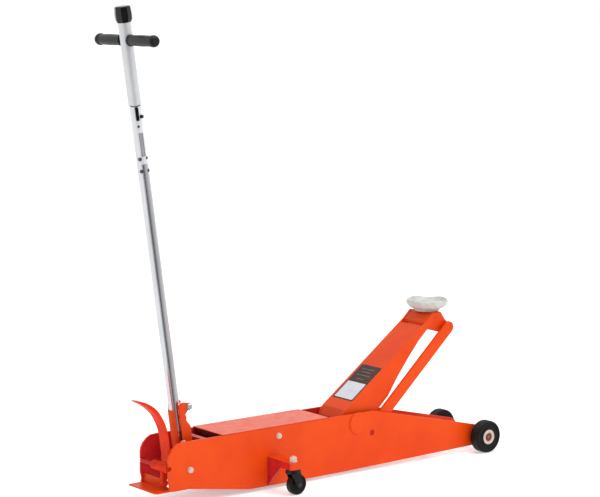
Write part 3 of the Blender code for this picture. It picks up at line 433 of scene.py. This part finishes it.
def make_world():
    """White to the camera and for soft light; reflections see a room with one dark stretch of wall."""
    world = bpy.data.worlds.new("studio")
    bpy.context.scene.world = world
    world.use_nodes = True
    tree = world.node_tree
    background = tree.nodes["Background"]

    def node(kind, *values, **settings):
        made = tree.nodes.new(kind)
        for key, value in settings.items():
            setattr(made, key, value)
        for index, value in enumerate(values):
            if isinstance(value, bpy.types.NodeSocket):
                tree.links.new(value, made.inputs[index])
            else:
                made.inputs[index].default_value = value
        return made

    way = node("ShaderNodeTexCoord").outputs["Generated"]
    parts = node("ShaderNodeSeparateXYZ", way).outputs
    turn = node("ShaderNodeMath", parts["Y"], parts["X"], operation="ARCTAN2").outputs[0]
    share = node("ShaderNodeMapRange", turn, -math.pi, math.pi, 0.0, 1.0).outputs[0]
    wall = node("ShaderNodeValToRGB", share)
    ramp = wall.color_ramp
    while len(ramp.elements) < len(WALL_STOPS):
        ramp.elements.new(0.5)
    for element, (degrees, level) in zip(ramp.elements, WALL_STOPS):
        element.position = (degrees + 180) / 360
        element.color = (level, level, level, 1)
    rays = node("ShaderNodeLightPath").outputs
    ahead = node("ShaderNodeMapRange", parts["X"], -1.0, 1.0, *SOFT_LIGHT).outputs[0]
    soft = node("ShaderNodeMix", rays["Is Glossy Ray"], data_type="RGBA")
    tree.links.new(ahead, soft.inputs[6])
    tree.links.new(wall.outputs["Color"], soft.inputs[7])
    seen = node("ShaderNodeMix", rays["Is Camera Ray"], data_type="RGBA")
    tree.links.new(soft.outputs[2], seen.inputs[6])
    seen.inputs[7].default_value = (1, 1, 1, 1)
    tree.links.new(seen.outputs[2], background.inputs["Color"])
    background.inputs["Strength"].default_value = 1.0


def make_studio():
    make_world()
    make_floor()
    for light in LIGHTS:
        area_light(*light)
    scene = bpy.context.scene
    scene.view_settings.view_transform = "Standard"
    scene.view_settings.look = "None"


# ---- shapes ---------------------------------------------------------------------------------------
def add(name, bm, material, body, place=IDENTITY, smooth=40):
    """A finished piece: its mesh is put in the row frame, then it rides on its body."""
    bmesh.ops.transform(bm, matrix=place, verts=bm.verts)
    bmesh.ops.recalc_face_normals(bm, faces=bm.faces)
    mesh = bpy.data.meshes.new(name)
    bm.to_mesh(mesh)
    bm.free()
    mesh.materials.append(material)
    mesh.shade_smooth()
    mesh.set_sharp_from_angle(angle=math.radians(smooth))
    obj = bpy.data.objects.new(name, mesh)
    bpy.context.scene.collection.objects.link(obj)
    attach(obj, body)
    return obj


def lathe(profile, segments, axis="Z", wave=None):
    """Turns (radius, height) points about Z or Y. Radius 0 closes an end, and wave shifts a height."""
    bm = bmesh.new()
    rings = []
    for radius, height in profile:
        count = 1 if radius == 0 else segments
        ring = []
        for i in range(count):
            angle = 2 * math.pi * i / segments
            shift = wave(angle, radius, height) if wave else 0
            x, y = radius * math.cos(angle), radius * math.sin(angle)
            ring.append(bm.verts.new((x, y, height + shift)))
        rings.append(ring)
    pairs = list(zip(rings, rings[1:]))
    if len(rings[0]) > 1:
        pairs.append((rings[-1], rings[0]))
    for one, two in pairs:
        for i in range(segments):
            j = (i + 1) % segments
            corners = [one[i % len(one)], one[j % len(one)], two[j % len(two)], two[i % len(two)]]
            bm.faces.new(list(dict.fromkeys(corners)))
    if axis == "Y":
        bmesh.ops.rotate(bm, matrix=Matrix.Rotation(-math.pi / 2, 3, "X"), verts=bm.verts)
    return bm


def slab(outline, low, high, edge=0.0):
    """An (x, y) outline with a thickness along Z and rims bevelled by edge."""
    bm = bmesh.new()
    base = [bm.verts.new((x, y, low)) for x, y in outline]
    top = [bm.verts.new((x, y, high)) for x, y in outline]
    caps = [bm.faces.new(base), bm.faces.new(list(reversed(top)))]
    for i in range(len(outline)):
        j = (i + 1) % len(outline)
        bm.faces.new((base[i], top[i], top[j], base[j]))
    if edge:
        rims = list({e for cap in caps for e in cap.edges})
        bmesh.ops.bevel(bm, geom=rims, offset=edge, segments=2, affect="EDGES", clamp_overlap=True)
    return bm


def rounded(low_x, high_x, low_y, high_y, radius, steps=5):
    """The outline of a rectangle with round corners."""
    points = []
    corners = ((high_x, low_y, -90), (high_x, high_y, 0), (low_x, high_y, 90), (low_x, low_y, 180))
    for x, y, start in corners:
        centre_x = x - radius if x == high_x else x + radius
        centre_y = y - radius if y == high_y else y + radius
        for step in range(steps + 1):
            angle = math.radians(start + 90 * step / steps)
            points.append((centre_x + radius * math.cos(angle), centre_y + radius * math.sin(angle)))
    return points


def merge(*meshes):
    """Joins several bmeshes into the first one."""
    first = meshes[0]
    for other in meshes[1:]:
        spare = bpy.data.meshes.new("spare")
        other.to_mesh(spare)
        other.free()
        first.from_mesh(spare)
        bpy.data.meshes.remove(spare)
    return first


def hex_head(radius, low, high):
    """A hexagon head with its corners turned down to a cone, on a thin round flange."""
    head = lathe([(0, low), (radius, low), (radius, high - 0.14 * radius),
                  (radius * 0.93, high - 0.05 * radius), (radius * 0.84, high), (0, high)], 6)
    flange = lathe([(0, low - 0.0001), (radius * 1.12, low - 0.0001), (radius * 1.16, low + 0.0004),
                    (radius * 1.12, low + 0.0011), (0, low + 0.0011)], 40)
    return merge(head, flange)


BEAD_SIDES = 8
BEAD_RIPPLE = (1.0, 1.16, 1.05)        # how the bead swells over each pitch, like a stack of coins
BEAD_TIP = 0.45


def bead(path, radius=0.0020, pitch=0.0022, closed=False):
    """A weld bead: a rounded, rippled strip along the path."""
    points = [Vector(point) for point in path]
    if closed:
        points.append(points[0])
    dense = []
    for start, end in zip(points, points[1:]):
        steps = max(1, round((end - start).length / (pitch / len(BEAD_RIPPLE))))
        dense += [start.lerp(end, step / steps) for step in range(steps)]
    if not closed:
        dense.append(points[-1])
    bm = bmesh.new()
    rings = []
    count = len(dense)
    for i, point in enumerate(dense):
        after = dense[(i + 1) % count] if closed else dense[min(i + 1, count - 1)]
        before = dense[i - 1] if closed else dense[max(i - 1, 0)]
        along = (after - before).normalized()
        side = along.orthogonal().normalized()
        other = along.cross(side)
        swell = radius * BEAD_RIPPLE[i % len(BEAD_RIPPLE)]
        if not closed and i in (0, count - 1):
            swell *= BEAD_TIP
        turns = [k * math.pi / (BEAD_SIDES / 2) for k in range(BEAD_SIDES)]
        rings.append([bm.verts.new(point + swell * (side * math.cos(turn) + other * math.sin(turn)))
                      for turn in turns])
    joints = list(zip(rings, rings[1:]))
    if closed:
        joints.append((rings[-1], rings[0]))
    for one, two in joints:
        gaps = [(one[0].co - vertex.co).length for vertex in two]
        shift = gaps.index(min(gaps))
        for k in range(BEAD_SIDES):
            after = (k + 1) % BEAD_SIDES
            bm.faces.new((one[k], one[after],
                          two[(after + shift) % BEAD_SIDES], two[(k + shift) % BEAD_SIDES]))
    if not closed:
        bm.faces.new(list(reversed(rings[0])))
        bm.faces.new(rings[-1])
    return bm


def ring_path(centre, radius, axis, start=0, end=360):
    """Points on a circle about Y or Z, or on the part of it between two angles."""
    steps = 40
    whole = end - start >= 360
    points = []
    for i in range(steps if whole else steps + 1):
        angle = math.radians(start + (end - start) * i / steps)
        a, b = radius * math.cos(angle), radius * math.sin(angle)
        offset = (a, 0, b) if axis == "Y" else (a, b, 0)
        points.append(Vector(centre) + Vector(offset))
    return points


# ---- front wheels ---------------------------------------------------------------------------------
TYRE_BORE = 0.0267
HUB_FACE = 0.1400                      # how far the hub ring's face is from the middle of the jack
HUB_RING = (                           # radius, and distance beyond the face
    (0.0166, -0.0010), (0.0166, 0.0006), (0.0176, 0.0011), (0.0205, 0.0012), (0.0216, 0.0006),
    (0.0238, 0.0006), (0.0246, 0.0013), (0.0260, 0.0012), (0.0264, 0.0004), (0.0264, -0.0010),
)
AXLE_FACE = 0.1405
AXLE_CAP = (
    (0, -0.0010), (0.0137, -0.0010), (0.0137, 0.0002), (0.0128, 0.0006), (0.0050, 0.0006),
    (0.0040, 0.0002), (0, -0.0005),
)


def tyre_profile(inner, outer, low, high):
    """Half-round shoulders, three shallow grooves in the tread and a stepped side wall."""
    profile = [(inner, low + 0.0010), (inner + 0.0030, low + 0.0006), (outer - 0.0120, low + 0.0008),
               (outer - 0.0085, low), (outer - 0.0050, low + 0.0002), (outer - 0.0020, low + 0.0022),
               (outer - 0.0004, low + 0.0052), (outer, low + 0.0080)]
    for share in (0.33, 0.50, 0.67):
        y = low + share * (high - low)
        profile += [(outer, y - 0.0012), (outer - 0.0010, y - 0.0007), (outer - 0.0010, y + 0.0007),
                    (outer, y + 0.0012)]
    return profile + [(outer, high - 0.0080), (outer - 0.0004, high - 0.0052),
                      (outer - 0.0020, high - 0.0022), (outer - 0.0050, high - 0.0002),
                      (outer - 0.0085, high), (outer - 0.0110, high - 0.0006),
                      (outer - 0.0130, high - 0.0016), (inner + 0.0080, high - 0.0018),
                      (inner + 0.0060, high - 0.0008), (inner + 0.0020, high - 0.0003),
                      (inner, high - 0.0010)]


def dress_front_wheel(label, side):
    low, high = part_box(f"front_tyre_{label}")
    near, far = sorted((abs(low.y), abs(high.y)))
    outer = (high.z - low.z) / 2
    at = Matrix.Translation((AXLE.x, 0, AXLE.z)) @ Matrix.Scale(side, 4, (0, 1, 0))
    wheel = f"front_wheel_{label}"
    tyre = add(f"tyre_{label}", lathe(tyre_profile(TYRE_BORE, outer, near, far), 96, "Y"), TYRE,
               wheel, at)
    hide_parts(f"front_tyre_{label}")
    ring = [(radius, HUB_FACE + beyond) for radius, beyond in HUB_RING]
    add(f"hub_ring_{label}", lathe(ring, 72, "Y"), ZINC, wheel, at)
    cap = [(radius, AXLE_FACE + beyond) for radius, beyond in AXLE_CAP]
    add(f"axle_end_{label}", lathe(cap, 48, "Y"), AXLE_END_BROWN, "chassis", at)


# ---- casters --------------------------------------------------------------------------------------
CASTER_TRAIL = 0.0124                  # how far a caster's wheel is ahead of its stem
STEM_RADIUS = 0.0061
HOOD_NARROWING = 0.84                  # the hood is oval, so that it stays inside the CAD model's width
BOLT_END = ((0, -0.0224), (0.0030, -0.0224), (0.0034, -0.0220), (0.0034, -0.0190), (0, -0.0190))
COLLAR = ((0.0180, 0.0768), (0.0188, 0.0762), (0.0212, 0.0762), (0.0218, 0.0772), (0.0218, 0.0784),
          (0.0180, 0.0784))
HOOD = ((0.0200, 0.0742), (0.0262, 0.0736), (0.0273, 0.0742), (0.0276, 0.0760), (0.0272, 0.0812),
        (0.0258, 0.0846), (0.0240, 0.0862), (0.0200, 0.0866))


def roller_profile(radius, half):
    """A wheel with a raised boss, a dished web and a fine groove round the middle of its tread."""
    flank = [(0.0044, half), (0.0105, half), (0.0117, half - 0.0006), (0.0126, half - 0.0024),
             (0.0135, half - 0.0032), (0.0200, half - 0.0036), (0.0258, half - 0.0030),
             (0.0272, half - 0.0012), (0.0295, half - 0.0005), (radius - 0.0030, half - 0.0006),
             (radius - 0.0012, half - 0.0018), (radius, half - 0.0045)]
    groove = [(radius, 0.0020), (radius - 0.0005, 0.0012)]
    return flank + groove + [(r, -y) for r, y in reversed(flank + groove)]


def caster_bolt():
    """The bolt through a caster's wheel, along Y: its head, its end and its nut."""
    head, nut = hex_head(0.0064, 0.0182, 0.0222), hex_head(0.0064, -0.0214, -0.0182)
    bolt = merge(head, lathe(BOLT_END, 20), nut)
    bmesh.ops.rotate(bolt, matrix=Matrix.Rotation(math.pi / 2, 3, "X"), verts=bolt.verts)
    return bolt


def caster_nut(shelf, stem_top):
    """A washer on the bracket's shelf, a tall nut on it and the end of the stem."""
    washer = [(STEM_RADIUS + 0.0001, shelf + 0.0002), (0.0148, shelf + 0.0002), (0.0150, shelf + 0.0008),
              (0.0144, shelf + 0.0018), (STEM_RADIUS + 0.0001, shelf + 0.0018)]
    nut = [(STEM_RADIUS, shelf + 0.0016), (0.0128, shelf + 0.0016), (0.0130, shelf + 0.0135),
           (0.0120, shelf + 0.0148), (0.0104, shelf + 0.0154), (STEM_RADIUS, shelf + 0.0150)]
    stem = [(0, stem_top - 0.0080), (STEM_RADIUS, stem_top - 0.0080), (STEM_RADIUS, stem_top - 0.0006),
            (0.0054, stem_top + 0.0002), (0, stem_top + 0.0002)]
    return merge(lathe(washer, 40), lathe(nut, 6), lathe(stem, 32))


def dress_caster(label):
    low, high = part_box(f"caster_wheel_{label}")
    centre = (low + high) / 2
    at_wheel = Matrix.Translation(centre)
    profile = roller_profile((high.z - low.z) / 2, (high.y - low.y) / 2)
    roller = add(f"caster_roller_{label}", lathe(profile, 72, "Y"), TYRE, f"caster_wheel_{label}",
                 at_wheel)
    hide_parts(f"caster_wheel_{label}")
    caster = f"caster_{label}"
    add(f"caster_bolt_{label}", caster_bolt(), DARK_STEEL, caster, at_wheel)
    at_stem = Matrix.Translation((centre.x - CASTER_TRAIL, centre.y, 0))
    nut = caster_nut(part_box(f"caster_bracket_{label}")[1].z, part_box(f"caster_fork_{label}")[1].z)
    add(f"caster_nut_{label}", nut, ZINC, caster, at_stem)
    add(f"caster_race_{label}", lathe(COLLAR, 48), ENAMEL, caster, at_stem)
    add(f"caster_hood_{label}", lathe(HOOD, 56), ENAMEL, caster,
        at_stem @ Matrix.Scale(HOOD_NARROWING, 4, (0, 1, 0)))


# ---- chassis --------------------------------------------------------------------------------------
INNER_SEAM = 0.0764                    # beads on the inner faces of the side plates, from the middle
TUBE_SEAM = 0.0763
TUBE_SEAM_RADIUS = 0.0143
OUTER_SEAM = PLATE_OUTER_FACE + 0.0006
SEAM_SIZE = 0.0018
SEAM_GAP = 0.0020                      # how far a bead stops short of the end of its edge
BRACKET_WEB = 0.0070
BRACKET_FOOT, WEB_TOP = 0.0200, 0.0860
BRACKET_END = 0.0220
TAIL_REAR = AXLE.x - 1.3333
TAIL_THICKNESS = 0.0060
TAIL_FOOT = 0.0570
WEDGE = ((-1.3440, 0.0556), (-1.3271, 0.0556), (-1.3271, 0.0510), (-1.2640, 0.0510), (-1.3200, 0.0630),
         (-1.3400, 0.0680))            # X from the front axle, and Z
WEDGE_SIDES = (0.0842, 0.0780)
SILL_FRONT = AXLE.x - 1.3275
SILL_DEPTH = 0.0056
SILL_NEAR, SILL_FAR = -0.0774, -0.0335
SILL_FOOT, SILL_TOP = 0.0550, 0.0612
PLUG_PLACE = (0.0110, -0.0570)         # X from the rear of the pump block, and Y


def weld(name, bm, body, place=IDENTITY, material=ORANGE):
    add(name, bm, material, body, place, 60)


def upright_beads(places, y, low, high):
    return merge(*[bead(((x, y, low), (x, y, high)), SEAM_SIZE) for x in places])


def weld_chassis():
    for label, side in SIDES.items():
        low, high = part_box(f"caster_bracket_{label}")
        y = side * OUTER_SEAM
        edges = [((low.x + SEAM_GAP, y, high.z), (high.x - SEAM_GAP, y, high.z)),
                 ((high.x, y, high.z - SEAM_GAP), (high.x, y, high.z - BRACKET_END)),
                 ((low.x + BRACKET_WEB, y, BRACKET_FOOT), (low.x + BRACKET_WEB, y, WEB_TOP)),
                 ((low.x, y, BRACKET_FOOT), (low.x, y, high.z - SEAM_GAP))]
        weld(f"bracket_weld_{label}", merge(*[bead(edge) for edge in edges]), "chassis",
             material=SHELF_ORANGE)
        tail_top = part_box("tail_plate")[1].z
        seams = upright_beads((TAIL_REAR, TAIL_REAR + TAIL_THICKNESS), side * INNER_SEAM, TAIL_FOOT,
                              tail_top - SEAM_GAP)
        weld(f"tail_weld_{label}", seams, "chassis")
        tube = middle("front_cross_tube")
        ring = ring_path((tube.x, side * TUBE_SEAM, tube.z), TUBE_SEAM_RADIUS, "Y")
        weld(f"cross_tube_weld_{label}", bead(ring, SEAM_SIZE, closed=True), "chassis")
        low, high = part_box("cylinder_bulkhead")
        seams = upright_beads((low.x, high.x), side * INNER_SEAM, low.z + 2 * SEAM_GAP,
                              high.z - 2 * SEAM_GAP)
        weld(f"bulkhead_weld_{label}", seams, "chassis")


def tail_corners():
    """A wedge under each side plate that closes the gap down to the foot."""
    for label, side in SIDES.items():
        outline = [(AXLE.x + x, z) for x, z in WEDGE]
        corner = slab(outline, *[-side * y for y in WEDGE_SIDES], 0.0006)
        add(f"tail_corner_{label}", corner, ORANGE, "chassis",
            Matrix.Rotation(math.pi / 2, 4, "X"))


def tail_sill():
    """The low strip between the foot and the near side plate, below the pedal's toe."""
    rear = SILL_FRONT - SILL_DEPTH
    outline = [(rear, SILL_NEAR), (SILL_FRONT, SILL_NEAR), (SILL_FRONT, SILL_FAR), (rear, SILL_FAR)]
    add("tail_sill", slab(outline, SILL_FOOT, SILL_TOP, 0.0008), ORANGE, "chassis")


def oil_filler():
    """A hexagon plug on its washer, on top of the pump block."""
    low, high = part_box("pump_body")
    washer = [(0, high.z - 0.0010), (0.0088, high.z - 0.0010), (0.0088, high.z + 0.0008),
              (0, high.z + 0.0008)]
    plug = merge(hex_head(0.0072, high.z + 0.0003, high.z + 0.0048), lathe(washer, 36))
    add("oil_filler_plug", plug, BRIGHT, "chassis",
        Matrix.Translation((low.x + PLUG_PLACE[0], PLUG_PLACE[1], 0)))


# ---- lift -----------------------------------------------------------------------------------------
TOP_PLATE_REAR, TOP_PLATE_FRONT = (0.0020, 0.0600), (0.4330, 0.0146)   # along the arm, above its axis
LABEL_START = 0.0450                   # along the arm
LABEL_FIELD = (0, 0.1680, -0.0555, 0.0510, 0.0030)     # low and high X, low and high Y, corner radius
LABEL_PANEL = (0.0055, 0.0840, -0.0500, 0.0455, 0.0020)
LABEL_LINES = (                        # place along the label, half width
    (0.1480, 0.0330), (0.1340, 0.0250), (0.1180, 0.0360), (0.1000, 0.0200),
)
LINE_HEIGHT = 0.0028
CUP_SECTION = (                        # radius and height
    (0, 0), (0.0115, 0), (0.0124, 0.0010), (0.0124, 0.0324), (0.0425, 0.0324), (0.0435, 0.0332),
    (0.0437, 0.0365), (0.0455, 0.0392), (0.0520, 0.0420), (0.0600, 0.0458), (0.0665, 0.0506),
    (0.0712, 0.0566), (0.0737, 0.0628), (0.0744, 0.0680), (0.0744, 0.0702), (0.0738, 0.0718),
    (0.0724, 0.0726), (0.0706, 0.0724), (0.0690, 0.0712), (0.0660, 0.0672), (0.0620, 0.0630),
    (0.0570, 0.0592), (0.0530, 0.0572), (0.0480, 0.0565), (0.0300, 0.0564), (0.0280, 0.0558),
    (0.0120, 0.0558), (0.0100, 0.0564), (0, 0.0564),
)
PAD_COUNT, PAD_RISE = 4, 0.0022
RIM_FOOT, RIM_DEPTH = 0.0610, 0.0110


def label_on_arm():
    """A plain two-part label: a dark field with blank lines over a pale panel, with no lettering."""
    slope = math.atan2(TOP_PLATE_REAR[1] - TOP_PLATE_FRONT[1], TOP_PLATE_FRONT[0] - TOP_PLATE_REAR[0])
    height = TOP_PLATE_REAR[1] - (LABEL_START - TOP_PLATE_REAR[0]) * math.tan(slope)
    place = ARM @ Matrix.Translation((LABEL_START, 0, height)) @ Matrix.Rotation(slope, 4, "Y")
    field = slab(rounded(*LABEL_FIELD), 0.00005, 0.00035, 0.0001)
    add("label_field", field, LABEL_DARK, "lift", place)
    panel = slab(rounded(*LABEL_PANEL), 0.00030, 0.00050, 0.0001)
    add("label_panel", panel, LABEL_PALE, "lift", place)
    lines = [slab(rounded(x, x + LINE_HEIGHT, -half, half, 0.0010, 3), 0.00030, 0.00045)
             for x, half in LABEL_LINES]
    add("label_lines", merge(*lines), LABEL_LINE, "lift", place)


def saddle_cup():
    """A cast cup on its stem, whose rim rises a little into four pads."""
    def pads(angle, radius, height):
        rise = max(0.0, (height - RIM_FOOT) / RIM_DEPTH)
        return PAD_RISE * rise * math.cos(PAD_COUNT * angle)

    cup = add("saddle_cup", lathe(CUP_SECTION, 112, wave=pads), CAST, "saddle",
              Matrix.Translation((middle("saddle").x, 0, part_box("saddle")[0].z)), 50)
    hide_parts("saddle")


# ---- handle and pedal -----------------------------------------------------------------------------
TUBE_RADIUS = 0.0180
SLEEVE_FOOT = 1.1727                   # heights here are along the handle from its pivot
SLOT_TURN, SLOT_HALF = -98, 34         # degrees round the handle
SLOT_BACK = (0.0136, 0.0146)           # inner and outer radius of the strip behind the slot
SLOT_SPAN = (1.0040, 1.0900)
RIVETS = (                             # degrees round the handle, height, radius
    (-144, 1.0020, 0.0064), (-60, 1.0035, 0.0052), (-142, 0.9630, 0.0062), (-58, 0.9630, 0.0058),
    (-113, 1.1060, 0.0042),
)
# A thin dark ring below the sleeve's rim, a painted shadow.
SHADOW_LINE_RADIUS, SHADOW_LINE_SAG = 0.0206, 0.0040
SHADOW_LINE_FROM, SHADOW_LINE_TURN = -172, 110
SOCKET_SEAM_RADIUS, SOCKET_SEAM_HEIGHT = 0.0232, 0.0350


def facing(turn, radius, height):
    """A frame on the handle's surface, whose Z axis points outwards at an angle round the handle."""
    return (HANDLE @ Matrix.Rotation(math.radians(turn), 4, "Z") @ Matrix.Translation((radius, 0, height))
            @ Matrix.Rotation(math.pi / 2, 4, "Y"))


def rivets():
    for number, (turn, height, radius) in enumerate(RIVETS, 1):
        head = lathe([(0, -0.0010), (radius, -0.0010), (radius, 0.0010), (radius * 0.8, 0.0022),
                      (radius * 0.3, 0.0028), (0, 0.0022)], 28)
        add(f"handle_rivet_{number}", head, DARK_STEEL, "handle",
            facing(turn, TUBE_RADIUS - 0.0006, height))


def slot_lining():
    """A curved strip inside the tube, behind its slot."""
    steps = 12
    inner, outer = SLOT_BACK
    turns = [math.radians(SLOT_TURN - SLOT_HALF + 2 * SLOT_HALF * i / steps) for i in range(steps + 1)]
    outline = [(outer * math.cos(turn), outer * math.sin(turn)) for turn in turns]
    outline += [(inner * math.cos(turn), inner * math.sin(turn)) for turn in reversed(turns)]
    add("slot_lining", slab(outline, *SLOT_SPAN), GREY, "handle", HANDLE)


def sleeve_shadow_line():
    """A thin black ring that sags round the near side of the tube at the sleeve's foot: a painted shadow
    line under the sleeve's rim.
    """
    dark_ring = []
    for turn in range(SHADOW_LINE_FROM, SHADOW_LINE_FROM + SHADOW_LINE_TURN, 5):
        angle = math.radians(turn)
        sag = SHADOW_LINE_SAG * math.sin(math.pi * (turn - SHADOW_LINE_FROM) / SHADOW_LINE_TURN)
        dark_ring.append((SHADOW_LINE_RADIUS * math.cos(angle), SHADOW_LINE_RADIUS * math.sin(angle),
                     SLEEVE_FOOT + 0.0010 - sag))
    add("sleeve_shadow_line", bead(dark_ring, 0.0012, 0.004), PLASTIC, "handle", HANDLE)


def socket_weld():
    seam = ring_path((0, 0, SOCKET_SEAM_HEIGHT), SOCKET_SEAM_RADIUS, "Z", -44, 234)
    weld("socket_weld", bead(seam, 0.0019), "handle", HANDLE)


def pedal_weld():
    """Two beads along Y between the pedal and its hub."""
    hub = middle("pedal_shaft")
    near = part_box("foot_pedal")[0].y
    seams = []
    for ahead, above in ((0.0100, 0.0128), (-0.0022, 0.0160)):
        x, z = hub.x + ahead, hub.z + above
        seams.append(bead(((x, near + 0.0020, z), (x, near + 0.0385, z)), 0.0016))
    weld("pedal_weld", merge(*seams), "pedal")


make_camera()
make_studio()
dress_nodes()
for which, direction in SIDES.items():
    dress_front_wheel(which, direction)
    dress_caster(which)
weld_chassis()
tail_corners()
tail_sill()
oil_filler()
label_on_arm()
saddle_cup()
rivets()
slot_lining()
sleeve_shadow_line()
socket_weld()
pedal_weld()
